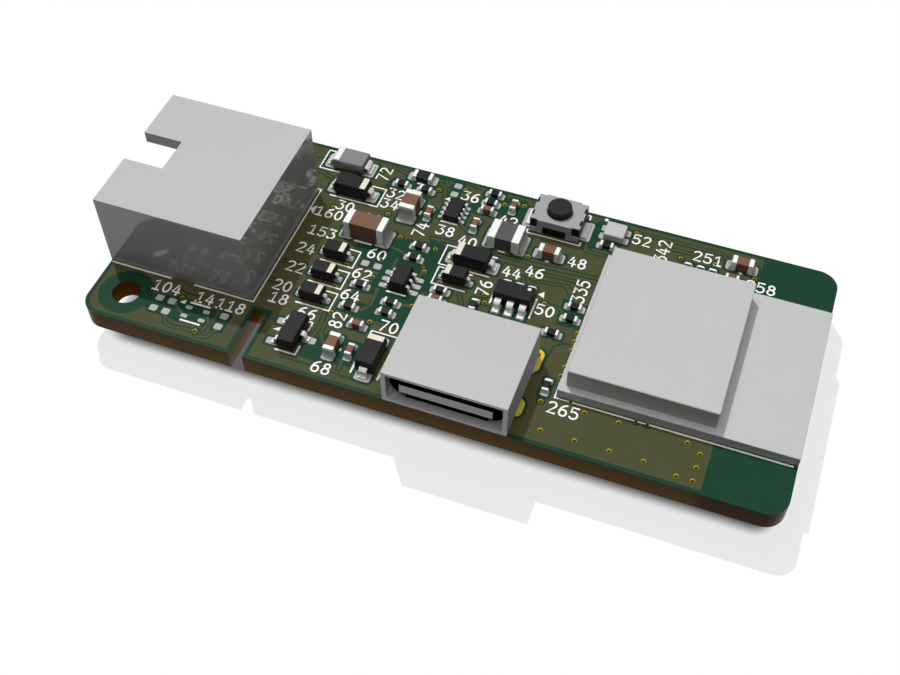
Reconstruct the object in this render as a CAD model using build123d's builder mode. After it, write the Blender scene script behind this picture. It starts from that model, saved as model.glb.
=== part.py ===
from build123d import *
import os

# Small wireless bridge board: a narrow circuit board with a side-entry pin header at one end,
# a wireless module at the other, a reversible power socket on its near edge, a reset switch
# and the surface-mounted parts of its supply.
# The origin is under the middle of the board, at the tips of the header's pin tails, so the
# board lies level above z = 0. Places on the board are measured from its near left corner.

os.makedirs("parts", exist_ok=True)

# Circuit board
board_thickness = 1.6
corner_radius = 1.5
hole_radius = 1.05
hole_x = 2.6
hole_y = 2.55
slot_x = 12.15
slot_width = 1.07
slot_depth = 4.27
pad_height = 0.04
drill_gap = 0.1

# Wireless module, flush with the board's right end
module_length = 16.6
module_width = 13.2
module_thickness = 0.8
module_y = 10.9
shield_length = 10.43
shield_width = 12.1
shield_height = 1.6
shield_sheet = 0.15
shield_corner = 0.12
shield_bend = 0.05
shield_margin = 0.46
radio_chip_side = 5.0
radio_chip_height = 0.85
crystal_length = 2.0
crystal_width = 1.6
crystal_height = 0.5

# Side-entry header, its mouth flush with the board's left end
pin_count = 5
pin_pitch = 2.0
pin_side = 0.5
pin_bend = 0.6
pin_tip_x = 4.4
pin_tail = 1.8
header_length = 11.6
header_shoulder = 2.0
header_height = 6.35
header_margin = 5.0
header_top_wall = 0.93
header_side_wall = 0.9
header_floor = 0.9
header_web = 1.2
header_back_wall = 0.8
header_back_gap = 1.7
header_notch_width = 3.0
header_notch_length = 3.13
peg_radius = 0.45
peg_length = 1.4
peg_x = 6.05
peg_inset = 0.5

# Power socket, its mouth at the board's near edge
socket_offset = 16.75
socket_to_module = 2.15
socket_width = 9.0
socket_depth = 7.25
socket_height = 3.05
mouth_width = 8.34
mouth_height = 2.56
mouth_corner = 0.06
throat_corner = 1.2
throat_depth = 0.74
tongue_width = 7.04
tongue_thickness = 1.1
tongue_setback = 0.35
tongue_corner = 0.2
insulator_depth = 2.2
tab_places = [(2.5, 0.8), (6.65, 1.15)]
tab_length = 1.75
tab_slot_gap = 0.2
contact_pitch = 0.5
contact_width = 0.25
contact_thickness = 0.1
contact_tail = 0.8
contact_pad_margin = 0.05
power_contact_places = [2.4, 3.2]
power_contact_width = 0.5

# The header sets the board's width, and the header, the socket and the module its length
header_width = (pin_count - 1) * pin_pitch + 2 * header_shoulder
board_width = header_width + 2 * header_margin
header_y = board_width / 2
socket_x = header_length + socket_offset
socket_wall = (socket_height - mouth_height) / 2
module_left = socket_x + socket_width / 2 + socket_to_module
board_length = module_left + module_length

# Reset switch
switch_x = header_length + 18.84
switch_y = board_width - 2.1
switch_length = 3.9
switch_depth = 2.9
switch_top = 1.47
switch_sheet = 0.12
switch_foot_gap = 0.1
plunger_radius = 0.925
plunger_top = 2.0
plunger_gap = 0.055
plunger_travel = 0.25
plunger_flange = 0.22
plunger_flange_radius = 1.1
plunger_nub_radius = 0.4
pocket_radius = 1.2
dome_radius = 1.05
dome_rise = 0.16
dome_sheet = 0.06
terminal_sheet = 0.15
terminal_width = 1.6
terminal_reach = 0.48
terminal_pad_length = 1.3
terminal_pad_width = 2.0
terminal_pad_margin = 0.25
skirt_notch_width = 0.6
skirt_notch_depth = 0.85
skirt_window_width = 1.85
skirt_window_height = 0.7
lug_length = 0.5
lug_depth = 0.16
lug_spread = 0.68

# Status lamp
lamp_x = module_left - 0.2
lamp_y = board_width - 1.67
lamp_length = 1.56
lamp_width = 1.44
lamp_substrate = 0.22
lamp_height = 0.6
lamp_pad_x = 0.78
lamp_pad_y = 0.42
lamp_pad_length = 0.72
lamp_pad_width = 0.62

# Chips with a terminal on each end: length, width, height, terminal length,
# pad length, pad width and the distance of each pad's middle from the chip's middle
chip_sizes = {
    "resistor_0402": (1.0, 0.5, 0.35, 0.2, 0.56, 0.62, 0.5),
    "resistor_0603": (1.6, 0.8, 0.45, 0.3, 0.8, 0.95, 0.82),
    "capacitor_0402": (1.0, 0.5, 0.5, 0.2, 0.56, 0.62, 0.5),
    "capacitor_0603": (1.6, 0.8, 0.8, 0.35, 0.8, 0.95, 0.8),
    "capacitor_0805": (2.0, 1.25, 1.25, 0.45, 1.0, 1.45, 0.95),
    "capacitor_1206": (3.2, 1.5, 1.6, 0.5, 1.15, 1.8, 1.48),
    "inductor": (2.5, 1.94, 1.2, 0.6, 0.9, 2.1, 1.23),
}
chip_chamfer = 0.03

# Places on the board are grouped by what they keep to: the header's end or the module's left
# end, and the near or the far edge. Each place is x, y and a turn in degrees
resistor_places = {
    "near": [
        (6.9, 8.95, 0), (6.9, 6.77, 0), (9.65, 8.13, 0), (9.65, 7.13, 0),
        (9.66, 13.99, 0), (9.66, 12.79, 0), (12.63, 10.45, 0), (15.4, 9.93, 90),
    ],
    "far": [
        (5.95, -2.2, 0), (7.95, -2.2, 0), (13.26, -0.8, 0), (13.26, -1.8, 0),
    ],
    "module_near": [
        (-1.03, 12.27, 0), (-1.03, 11.08, 0), (-1.92, 9.4, 0), (-0.85, 4.8, 90),
    ],
    "module_far": [
        (-0.49, -3.1, 0), (5.73, -3.33, 90), (6.68, -3.33, 90), (7.6, -3.33, 90),
    ],
}
small_capacitor_places = {
    "near": [
        (8.17, 5.32, 0), (12.63, 9.45, 0), (8.65, 2.95, 90),
    ],
    "far": [
        (13.26, -2.72, 0), (9.1, -4.5, 90), (15.06, -1.62, 90), (12.87, -4.5, 90),
    ],
    "module_far": [
        (9.1, -3.25, 0),
    ],
}
large_resistor_places = {"far": [(7.3, -0.95, 0)]}
large_chips = {
    "near_capacitor": ("capacitor_0603", "near", 7.3, 2.95, 90),
    "output_capacitor": ("capacitor_0603", "far", 19.11, -5.48, 0),
    "module_capacitor": ("capacitor_0603", "module_far", 9.57, -1.73, 0),
    "filter_capacitor": ("capacitor_0805", "far", 7.6, -4.55, 90),
    "input_capacitor": ("capacitor_1206", "near", 5.42, 13.91, 0),
    "inductor": ("inductor", "far", 15.63, -5.19, 0),
}

# Moulded packages with bent leads. Leads leave along the package's own x: body size across and
# along the leads' row, body height, span over the leads' toes, lead width and sheet, then the
# span over the pads, pad length and pad width
package_sizes = {
    "small_diode": (1.75, 1.15, 1.05, 2.5, 0.32, 0.12, 2.7, 0.6, 0.55),
    "diode": (2.7, 1.4, 1.2, 3.75, 0.6, 0.14, 4.1, 0.95, 1.2),
    "power_diode": (2.65, 1.7, 1.0, 3.7, 1.05, 0.14, 4.15, 1.1, 1.55),
    "three_lead": (1.3, 2.9, 1.1, 2.5, 0.42, 0.13, 3.4, 1.0, 0.58),
    "six_lead": (1.5, 2.9, 1.15, 3.3, 0.5, 0.13, 3.4, 1.0, 0.62),
    "small_six_lead": (1.25, 2.0, 1.0, 2.1, 0.24, 0.11, 3.04, 0.7, 0.42),
    "eight_lead": (1.2, 2.1, 0.6, 1.65, 0.22, 0.1, 2.15, 0.5, 0.3),
}
two_leads = [(-1, 0.0), (1, 0.0)]
three_leads = [(-1, 0.95), (-1, -0.95), (1, 0.0)]
six_leads = [(side, step * 0.95) for side in (-1, 1) for step in (-1, 0, 1)]
small_six_leads = [(side, step * 0.65) for side in (-1, 1) for step in (-1, 0, 1)]
eight_leads = [(side, step * 0.5) for side in (-1, 1) for step in (-1.5, -0.5, 0.5, 1.5)]
packages = {
    "power_diode": ("power_diode", "far", 1.37, -1.5, 0, two_leads),
    "input_diode": ("diode", "far", 2.65, -4.2, 0, two_leads),
    "bus_diode": ("diode", "near", 13.94, 13.9, 0, two_leads),
    "socket_diode": ("diode", "near", 10.28, 2.95, 90, two_leads),
    "line_diode_1": ("small_diode", "near", 4.08, 11.19, 0, two_leads),
    "line_diode_2": ("small_diode", "near", 4.08, 8.98, 0, two_leads),
    "line_diode_3": ("small_diode", "near", 4.08, 6.78, 0, two_leads),
    "gate_diode": ("small_diode", "near", 13.33, 11.86, 0, two_leads),
    "reset_guard": ("three_lead", "near", 4.28, 2.98, 0, three_leads),
    "socket_guard": ("six_lead", "near", 17.98, 11.5, 90, six_leads),
    "level_shifter": ("small_six_lead", "near", 9.66, 10.26, 0, small_six_leads),
    "regulator": ("eight_lead", "far", 10.88, -3.64, 0, eight_leads),
}
body_standoff = 0.06
mould_draft = 8.0
lead_bend = 0.12

# Pads with no part on them: the corner ones from the board's near left corner, the others
# from the header's end, as x, y, length and width
corner_pads = [(x, y, 0.61, 0.56) for x in (5.2, 6.2, 10.42) for y in (1.89, 2.89)]
corner_pads += [(x, y, 0.52, 0.33) for x in (7.64, 9.03) for y in (1.97, 2.79)]
supply_pads = [("near", x, 11.15, 0.61, 0.56) for x in (6.4, 7.4)]
supply_pads += [("far", 10.2, y, 0.61, 0.56) for y in (-0.8, -1.75)]

solder_radius = 0.75
solder_height = 0.7

on_face = (Align.CENTER, Align.CENTER, Align.MIN)
below_face = (Align.CENTER, Align.CENTER, Align.MAX)
right_of = (Align.MIN, Align.CENTER, Align.MIN)
left_of = (Align.MAX, Align.CENTER, Align.MIN)

board_top = pin_tail + board_thickness
board_bottom = pin_tail
pad_top = board_top + pad_height
zones = {
    "near": (header_length, 0),
    "far": (header_length, board_width),
    "module_near": (module_left, 0),
    "module_far": (module_left, board_width),
}


def plan(x, y, turn=0.0):
    """A place in a sketch, from the board's near left corner."""
    return Location((x - board_length / 2, y - board_width / 2, 0), (0, 0, turn))


def spot(x, y, z=0.0, turn=0.0):
    """A place on the board, from its near left corner and its top face."""
    return Location((x - board_length / 2, y - board_width / 2, board_top + z), (0, 0, turn))


def in_zone(zone, x, y):
    """A place given from its zone's corner, as one from the board's near left corner."""
    return zones[zone][0] + x, zones[zone][1] + y


def save(part, name):
    part.label = name
    export_step(part, f"parts/{name}.step")


def pin_places():
    first = header_y - (pin_count - 1) * pin_pitch / 2
    return [first + step * pin_pitch for step in range(pin_count)]


# Circuit board, with its cable-tie slot, mounting hole, and the drilled holes of header and socket
leg_x = header_length - header_back_wall - header_back_gap / 2
peg_places = [header_y - header_width / 2 + peg_inset, header_y + header_width / 2 - peg_inset]
tab_x = socket_width / 2 - socket_wall / 2
with BuildPart() as circuit_board:
    with BuildSketch(Plane.XY.offset(board_bottom)):
        RectangleRounded(board_length, board_width, corner_radius)
        with Locations(plan(slot_x + slot_width / 2, slot_depth / 2)):
            Rectangle(slot_width, slot_depth, mode=Mode.SUBTRACT)
        with Locations(plan(hole_x, hole_y)):
            Circle(hole_radius, mode=Mode.SUBTRACT)
        for pin_y in pin_places():
            with Locations(plan(leg_x, pin_y)):
                Circle(pin_side * 0.7072 + drill_gap, mode=Mode.SUBTRACT)
        for peg_y in peg_places:
            with Locations(plan(peg_x, peg_y)):
                Circle(peg_radius + drill_gap / 2, mode=Mode.SUBTRACT)
        for side in (-1, 1):
            for tab_y, tab_width in tab_places:
                with Locations(plan(socket_x + side * tab_x, tab_y, turn=90)):
                    SlotOverall(tab_width + 2 * tab_slot_gap, socket_wall + tab_slot_gap,
                                mode=Mode.SUBTRACT)
    extrude(amount=board_thickness)
save(circuit_board.part, "circuit_board")

# Wireless module: its own board, and a folded can over the radio chip and its crystal
module_x = board_length - module_length / 2
shield_x = module_left + shield_margin + shield_length / 2
with BuildPart() as module_board:
    with Locations(spot(module_x, module_y)):
        Box(module_length, module_width, module_thickness, align=on_face)
save(module_board.part, "module_board")

with BuildPart() as shield_can:
    with Locations(spot(shield_x, module_y, module_thickness)):
        Box(shield_length, shield_width, shield_height, align=on_face)
    fillet(shield_can.edges().filter_by(Axis.Z), shield_corner)
    chamfer(shield_can.faces().sort_by(Axis.Z)[-1].edges(), shield_bend)
    offset(amount=-shield_sheet, openings=shield_can.faces().sort_by(Axis.Z)[0])
save(shield_can.part, "shield_can")

with BuildPart() as radio_chip:
    with Locations(spot(shield_x - 1.2, module_y - 1.0, module_thickness)):
        Box(radio_chip_side, radio_chip_side, radio_chip_height, align=on_face)
    chamfer(radio_chip.faces().sort_by(Axis.Z)[-1].edges(), 2 * chip_chamfer)
save(radio_chip.part, "radio_chip")

with BuildPart() as radio_crystal:
    with Locations(spot(shield_x - 1.2, module_y + radio_chip_side / 2 + 1.2, module_thickness)):
        Box(crystal_length, crystal_width, crystal_height, align=on_face)
save(radio_crystal.part, "radio_crystal")

# Header housing: a deep front cavity with the latch notch in its roof, a web that holds the
# pins, a rear chamber open below for their legs, and two pegs into the board
pin_z = header_floor + (header_height - header_floor - header_top_wall) / 2
chamber_end = header_length - header_back_wall
web_end = chamber_end - header_back_gap
web_start = web_end - header_web
with BuildPart() as header_housing:
    with Locations(spot(0, header_y)):
        Box(header_length, header_width, header_height, align=right_of)
    cavity_width = header_width - 2 * header_side_wall
    with Locations(spot(0, header_y, header_floor)):
        Box(web_start, cavity_width, header_height - header_floor - header_top_wall,
            align=right_of, mode=Mode.SUBTRACT)
    with Locations(spot(0, header_y, header_floor)):
        Box(header_notch_length, header_notch_width, header_height,
            align=right_of, mode=Mode.SUBTRACT)
    with Locations(spot(web_end, header_y)):
        Box(header_back_gap, cavity_width, pin_z + 2 * pin_side,
            align=right_of, mode=Mode.SUBTRACT)
    for pin_y in pin_places():
        with Locations(spot(web_start, pin_y, pin_z)):
            Box(header_web, pin_side, pin_side,
                align=(Align.MIN, Align.CENTER, Align.CENTER), mode=Mode.SUBTRACT)
    for peg_y in peg_places:
        with BuildSketch(Plane.XY.offset(board_top)):
            with Locations(plan(peg_x, peg_y)):
                Circle(peg_radius)
        extrude(amount=-peg_length, taper=3)
save(header_housing.part, "header_housing")

# Header pins: square wire, bent once behind the web and down through the board
with BuildPart() as header_pins:
    for pin_y in pin_places():
        with BuildLine(Plane.XZ.offset(board_width / 2 - pin_y)) as pin_path:
            FilletPolyline(
                (pin_tip_x - board_length / 2, board_top + pin_z),
                (leg_x - board_length / 2, board_top + pin_z),
                (leg_x - board_length / 2, board_bottom - pin_tail),
                radius=pin_bend,
            )
        with BuildSketch(Plane(origin=pin_path.line @ 0, z_dir=pin_path.line % 0)):
            Rectangle(pin_side, pin_side)
        sweep(path=pin_path.line)
save(header_pins.part, "header_pins")

# Solder round each tail under the board
with BuildPart() as header_solder:
    for pin_y in pin_places():
        with BuildSketch(Plane.XY.offset(board_bottom)):
            with Locations(plan(leg_x, pin_y)):
                RegularPolygon(solder_radius, 12)
        extrude(amount=-solder_height, taper=32)
    for pin_y in pin_places():
        with Locations(spot(leg_x, pin_y, -board_thickness)):
            Box(pin_side, pin_side, 4 * solder_height, mode=Mode.SUBTRACT)
save(header_solder.part, "header_solder")

# Power socket shell: a square tube whose square mouth closes to a round-ended throat, with four
# tabs through the board
socket_rear = socket_depth
socket_mid = socket_height / 2
front = Plane(origin=spot(socket_x, 0, socket_mid).position, z_dir=(0, 1, 0), x_dir=(1, 0, 0))
with BuildPart() as socket_shell:
    with BuildSketch(front):
        Rectangle(socket_width, socket_height)
    extrude(amount=socket_depth)
    fillet(socket_shell.edges().filter_by(Axis.Y), mouth_corner)
    with BuildSketch(front):
        RectangleRounded(mouth_width, mouth_height, throat_corner)
    extrude(amount=socket_depth, mode=Mode.SUBTRACT)
    with BuildSketch(front) as mouth:
        RectangleRounded(mouth_width, mouth_height, mouth_corner)
    with BuildSketch(front.offset(throat_depth)) as throat:
        RectangleRounded(mouth_width, mouth_height, throat_corner)
    loft(sections=[mouth.sketch, throat.sketch], mode=Mode.SUBTRACT)
    with Locations(spot(socket_x, socket_rear)):
        Box(2 * power_contact_places[-1] + 2 * power_contact_width, insulator_depth, socket_height / 4,
            align=(Align.CENTER, Align.MAX, Align.MIN), mode=Mode.SUBTRACT)
    for side in (-1, 1):
        for tab_y, tab_width in tab_places:
            with Locations(spot(socket_x + side * tab_x, tab_y, socket_wall)):
                Box(socket_wall, tab_width, tab_length + socket_wall, align=below_face)
save(socket_shell.part, "socket_shell")

# Contacts of the socket: strips under the tongue, down through the shell's open floor and out
signal_places = [(step + 0.5) * contact_pitch for step in range(-4, 4)]
contact_rows = [(place, contact_width) for place in signal_places]
contact_rows += [(side * place, power_contact_width) for side in (-1, 1) for place in power_contact_places]
contact_y = tongue_setback + 0.4
tongue_under = socket_mid - tongue_thickness / 2 + contact_thickness / 2
contact_drop = socket_rear - insulator_depth / 3
tail_z = pad_height + contact_thickness / 2
with BuildPart() as socket_contacts:
    for place, width in contact_rows:
        section = Plane(origin=spot(socket_x + place, 0).position, x_dir=(0, 1, 0), z_dir=(1, 0, 0))
        with BuildLine(section) as contact_path:
            Polyline(
                (contact_y, tongue_under),
                (contact_drop, tongue_under),
                (contact_drop, tail_z),
                (socket_rear + contact_tail, tail_z),
            )
        with BuildSketch(Plane(origin=contact_path.line @ 0, z_dir=contact_path.line % 0, x_dir=(1, 0, 0))):
            Rectangle(width, contact_thickness)
        sweep(path=contact_path.line, transition=Transition.RIGHT)
save(socket_contacts.part, "socket_contacts")

# Insulator of the socket: a block in the shell's rear and the tongue that carries the contacts
with BuildPart() as socket_insulator:
    with Locations(spot(socket_x, socket_rear, socket_wall)):
        Box(mouth_width, insulator_depth, mouth_height, align=(Align.CENTER, Align.MAX, Align.MIN))
    fillet(socket_insulator.edges().filter_by(Axis.Y), throat_corner)
    with Locations(spot(socket_x, socket_rear - insulator_depth, socket_mid)):
        Box(tongue_width, socket_rear - insulator_depth - tongue_setback, tongue_thickness,
            align=(Align.CENTER, Align.MAX, Align.CENTER))
    chamfer(socket_insulator.edges().filter_by(Axis.Z).group_by(Axis.Y)[0], tongue_corner)
    add(socket_contacts.part, mode=Mode.SUBTRACT)
save(socket_insulator.part, "socket_insulator")

# Reset switch. Heights are above the board: terminals, then the base with its round pocket,
# the snap dome, the plunger, and the folded sheet cover
switch = (switch_x, switch_y)
terminal_top = pad_height + terminal_sheet
cover_under = switch_top - switch_sheet
base_depth = switch_depth - 2 * switch_sheet
cover_foot = pad_height + switch_foot_gap
contact_reach = plunger_nub_radius
lug_x = (switch_length - lug_depth) / 2
lug_places = [(side * lug_x, row * lug_spread) for side in (-1, 1) for row in (-1, 1)]
with BuildPart() as switch_terminals:
    with Locations(spot(*switch, pad_height)):
        with Locations((-switch_length / 2 - terminal_reach, 0)):
            Box(switch_length / 2 + terminal_reach + contact_reach, terminal_width, terminal_sheet,
                align=right_of)
        with Locations((switch_length / 2 + terminal_reach, 0)):
            Box(switch_length / 2 + terminal_reach - pocket_radius + contact_reach, terminal_width,
                terminal_sheet,
                align=left_of)
save(switch_terminals.part, "switch_terminals")

with BuildPart() as switch_base:
    with Locations(spot(*switch, pad_height)):
        Box(switch_length, base_depth, cover_under - pad_height, align=on_face)
    with Locations(spot(*switch, terminal_top)):
        Cylinder(pocket_radius, cover_under, align=on_face, mode=Mode.SUBTRACT)
    with Locations(spot(*switch, cover_under)):
        with Locations(*lug_places):
            Box(lug_depth, lug_length, switch_sheet, align=on_face)
    add(switch_terminals.part, mode=Mode.SUBTRACT)
save(switch_base.part, "switch_base")

dome_place = spot(*switch, terminal_top).position
with BuildPart() as switch_dome:
    with BuildSketch(Plane(origin=dome_place, x_dir=(1, 0, 0), z_dir=(0, -1, 0))):
        with BuildLine():
            Polyline(
                (0, dome_rise),
                (dome_radius / 2, 0.8 * dome_rise),
                (dome_radius, 0),
                (dome_radius, dome_sheet),
                (dome_radius / 2, 0.8 * dome_rise + dome_sheet),
                (0, dome_rise + dome_sheet),
                close=True,
            )
        make_face()
    revolve(axis=Axis(dome_place, (0, 0, 1)))
save(switch_dome.part, "switch_dome")

# The plunger's flange stays under the cover, and its nub ends a full stroke above the dome
flange_top = cover_under - plunger_gap / 2
nub_bottom = terminal_top + dome_sheet + dome_rise + plunger_travel + plunger_gap
with BuildPart() as switch_plunger:
    with Locations(spot(*switch, flange_top)):
        Cylinder(plunger_radius, plunger_top - flange_top, align=on_face)
    chamfer(switch_plunger.edges().sort_by(Axis.Z)[-1], plunger_gap)
    with Locations(spot(*switch, flange_top)):
        Cylinder(plunger_flange_radius, plunger_flange, align=below_face)
        Cylinder(plunger_nub_radius, flange_top - nub_bottom, align=below_face)
save(switch_plunger.part, "switch_plunger")

with BuildPart() as switch_cover:
    with BuildSketch(Plane.XY.offset(board_top + cover_under)):
        with Locations(plan(*switch)):
            Rectangle(switch_length, base_depth)
            Circle(plunger_radius + plunger_gap, mode=Mode.SUBTRACT)
            with Locations(*lug_places):
                Rectangle(lug_depth, lug_length, mode=Mode.SUBTRACT)
    extrude(amount=switch_sheet)
    notch_x = (switch_length - skirt_notch_width) / 2
    notch_z = switch_top - skirt_notch_depth / 2
    for side in (-1, 1):
        skirt_origin = spot(switch_x, switch_y + side * base_depth / 2).position
        with BuildSketch(Plane(origin=skirt_origin, x_dir=(-side, 0, 0), z_dir=(0, side, 0))):
            with Locations((0, (switch_top + cover_foot) / 2)):
                Rectangle(switch_length, switch_top - cover_foot)
            with Locations((0, cover_foot + skirt_window_height / 2)):
                Rectangle(skirt_window_width, skirt_window_height, mode=Mode.SUBTRACT)
            with Locations((-notch_x, notch_z), (notch_x, notch_z)):
                Rectangle(skirt_notch_width, skirt_notch_depth, mode=Mode.SUBTRACT)
        extrude(amount=switch_sheet)
save(switch_cover.part, "switch_cover")

# Status lamp: a pale carrier with four terminals wrapped at its corners, under a clear moulded block
lamp = (lamp_x, lamp_y)
lamp_corners = [(across * lamp_pad_x, along * lamp_pad_y) for across in (-1, 1) for along in (-1, 1)]
with BuildPart() as lamp_terminals:
    with Locations(spot(*lamp, pad_height)):
        for across, along in lamp_corners:
            with Locations((across, along)):
                Box(lamp_pad_length / 3, lamp_pad_width * 0.7, lamp_substrate / 2,
                    align=(Align.MAX if across > 0 else Align.MIN, Align.CENTER, Align.MIN))
save(lamp_terminals.part, "lamp_terminals")

with BuildPart() as lamp_carrier:
    with Locations(spot(*lamp, pad_height)):
        Box(lamp_length, lamp_width, lamp_substrate, align=on_face)
    add(lamp_terminals.part, mode=Mode.SUBTRACT)
save(lamp_carrier.part, "lamp_carrier")

with BuildPart() as lamp_lens:
    with Locations(spot(*lamp, pad_height + lamp_substrate)):
        Box(lamp_length, lamp_width, lamp_height - lamp_substrate, align=on_face)
    chamfer(lamp_lens.faces().sort_by(Axis.Z)[-1].edges(), 2 * chip_chamfer)
save(lamp_lens.part, "lamp_lens")


def chip_body(size, place):
    """The ceramic between a chip's two terminals."""
    length, width, height, terminal = chip_sizes[size][:4]
    x, y, turn = place
    with Locations(spot(x, y, pad_height + chip_chamfer, turn)):
        Box(length - 2 * terminal, width - chip_chamfer, height - 2 * chip_chamfer,
            align=on_face)


def chip_terminals(size, place):
    """A chip's two end terminals, standing on their pads."""
    length, width, height, terminal = chip_sizes[size][:4]
    x, y, turn = place
    with Locations(spot(x, y, pad_height, turn)):
        with Locations(((terminal - length) / 2, 0), ((length - terminal) / 2, 0)):
            Box(terminal, width, height, align=on_face)


def zone_places(size, places):
    """Chips of one size with their places from the board's near left corner."""
    return [(size, (*in_zone(zone, x, y), turn)) for zone, rows in places.items() for x, y, turn in rows]


chip_groups = {
    "resistor": zone_places("resistor_0402", resistor_places),
    "small_capacitor": zone_places("capacitor_0402", small_capacitor_places),
}
chip_groups["resistor"] += zone_places("resistor_0603", large_resistor_places)
for name, (size, zone, x, y, turn) in large_chips.items():
    chip_groups[name] = zone_places(size, {zone: [(x, y, turn)]})
for group, members in chip_groups.items():
    with BuildPart() as bodies:
        for size, place in members:
            chip_body(size, place)
    save(bodies.part, f"{group}_body")
    with BuildPart() as terminals:
        for size, place in members:
            chip_terminals(size, place)
        level_faces = terminals.faces().filter_by(Axis.Z)
        tops = level_faces.filter_by(lambda face: face.center().Z > pad_top + chip_chamfer)
        chamfer(tops.edges(), chip_chamfer)
    save(terminals.part, f"{group}_terminals")

# Moulded packages: a body with draft above and below the band where its leads come out, and
# leads bent down and out to their pads
for name, (size, zone, zone_x, zone_y, turn, leads) in packages.items():
    x, y = in_zone(zone, zone_x, zone_y)
    across, along, height, span, lead_width, sheet = package_sizes[size][:6]
    band = body_standoff + (height - body_standoff) / 2 - sheet / 2
    side_draft = (height - body_standoff - sheet) / 2
    with BuildPart() as body:
        with BuildSketch(Plane.XY.offset(pad_top + band)):
            with Locations(plan(x, y, turn)):
                Rectangle(across, along)
        extrude(amount=sheet)
        extrude(body.faces().sort_by(Axis.Z)[-1], amount=side_draft, taper=mould_draft)
        extrude(body.faces().sort_by(Axis.Z)[0], amount=side_draft, taper=mould_draft)
        chamfer(body.faces().sort_by(Axis.Z)[-1].edges(), chip_chamfer)
    save(body.part, f"{name}_body")

    knee = across / 2 + (span - across) / 4
    bend = min(lead_bend, (span - across) / 8, band / 3)
    with BuildPart() as lead:
        with BuildLine(Plane.XZ) as lead_path:
            Polyline(
                (across / 2, band + sheet / 2),
                (knee - bend, band + sheet / 2),
                (knee, band + sheet / 2 - bend),
                (knee, sheet / 2 + bend),
                (knee + bend, sheet / 2),
                (span / 2, sheet / 2),
            )
        with BuildSketch(Plane(origin=lead_path.line @ 0, z_dir=lead_path.line % 0, x_dir=(0, 1, 0))):
            Rectangle(lead_width, sheet)
        sweep(path=lead_path.line, transition=Transition.RIGHT)
    with BuildPart() as lead_set:
        for side, row in leads:
            with Locations(spot(x, y, pad_height, turn)):
                with Locations(Location((0, row, 0), (0, 0, 0 if side > 0 else 180))):
                    add(lead.part)
    save(lead_set.part, f"{name}_leads")

# Tinned pads on the board's top face
with BuildPart() as solder_pads:
    with BuildSketch(Plane.XY.offset(board_top)):
        for members in chip_groups.values():
            for size, (x, y, turn) in members:
                pad_length, pad_width, pad_place = chip_sizes[size][4:]
                with Locations(plan(x, y, turn)):
                    with Locations((-pad_place, 0), (pad_place, 0)):
                        Rectangle(pad_length, pad_width)
        for size, zone, x, y, turn, leads in packages.values():
            pad_span, pad_length, pad_width = package_sizes[size][6:]
            with Locations(plan(*in_zone(zone, x, y), turn)):
                with Locations(*[(side * (pad_span - pad_length) / 2, row) for side, row in leads]):
                    Rectangle(pad_length, pad_width)
        for x, y, pad_length, pad_width in corner_pads:
            with Locations(plan(x, y)):
                Rectangle(pad_length, pad_width)
        for zone, x, y, pad_length, pad_width in supply_pads:
            with Locations(plan(*in_zone(zone, x, y))):
                Rectangle(pad_length, pad_width)
        with Locations(plan(*lamp)):
            with Locations(*lamp_corners):
                Rectangle(lamp_pad_length, lamp_pad_width)
        with Locations(plan(*switch)):
            pad_middle = switch_length / 2 + terminal_reach + terminal_pad_margin - terminal_pad_length / 2
            with Locations((-pad_middle, 0), (pad_middle, 0)):
                Rectangle(terminal_pad_length, terminal_pad_width)
        for place, width in contact_rows:
            with Locations(plan(socket_x + place, socket_rear + contact_tail / 2)):
                Rectangle(width + contact_pad_margin, contact_tail + contact_pad_margin)
    extrude(amount=pad_height)
save(solder_pads.part, "solder_pads")
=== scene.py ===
import bpy
import bmesh
from math import cos, sin, pi, radians
from mathutils import Matrix, Vector


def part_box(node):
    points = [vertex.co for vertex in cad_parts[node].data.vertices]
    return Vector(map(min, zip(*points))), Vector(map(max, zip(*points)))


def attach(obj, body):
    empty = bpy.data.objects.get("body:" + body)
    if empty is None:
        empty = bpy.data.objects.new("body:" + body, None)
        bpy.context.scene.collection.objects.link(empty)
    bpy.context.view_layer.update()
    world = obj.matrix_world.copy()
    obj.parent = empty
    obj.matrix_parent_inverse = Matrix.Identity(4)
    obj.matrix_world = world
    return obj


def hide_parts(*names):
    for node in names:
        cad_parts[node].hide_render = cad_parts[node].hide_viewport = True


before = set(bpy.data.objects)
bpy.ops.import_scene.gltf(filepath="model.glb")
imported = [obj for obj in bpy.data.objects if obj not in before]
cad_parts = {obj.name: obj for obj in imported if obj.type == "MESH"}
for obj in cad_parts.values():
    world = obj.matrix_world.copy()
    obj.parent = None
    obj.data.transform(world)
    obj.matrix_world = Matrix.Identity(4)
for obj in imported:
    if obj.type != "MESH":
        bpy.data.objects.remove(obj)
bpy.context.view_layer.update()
mm = 0.001
rootBody = "board_body"
boardLow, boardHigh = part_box("circuit_board")
boardTop = boardHigh.z
boardBottom = boardLow.z
print("frame loaded:", len(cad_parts), "nodes")

boardPlan = {  # millimetres from the board's near left corner
    "width": 22.0, "rim": 0.3, "corner": 1.2, "pourEnd": 46.0, "hole": (2.6, 2.55), "holeKeep": 2.05,
    "slot": (11.85, 13.52, 4.57), "padKeep": 0.2, "padKeepCorner": 0.24,
}


def boardPoint(x, y):
    return (boardLow.x + x * mm, boardLow.y + y * mm)


def tone(red, green, blue):  # a colour as seen on screen, 0 to 255, made linear
    linear = [((c / 255 + 0.055) / 1.055) ** 2.4 if c > 10 else c / 255 / 12.92 for c in (red, green, blue)]
    return (*linear, 1.0)


# Short forms for shader nodes, each giving back the socket that the next one takes

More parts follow.
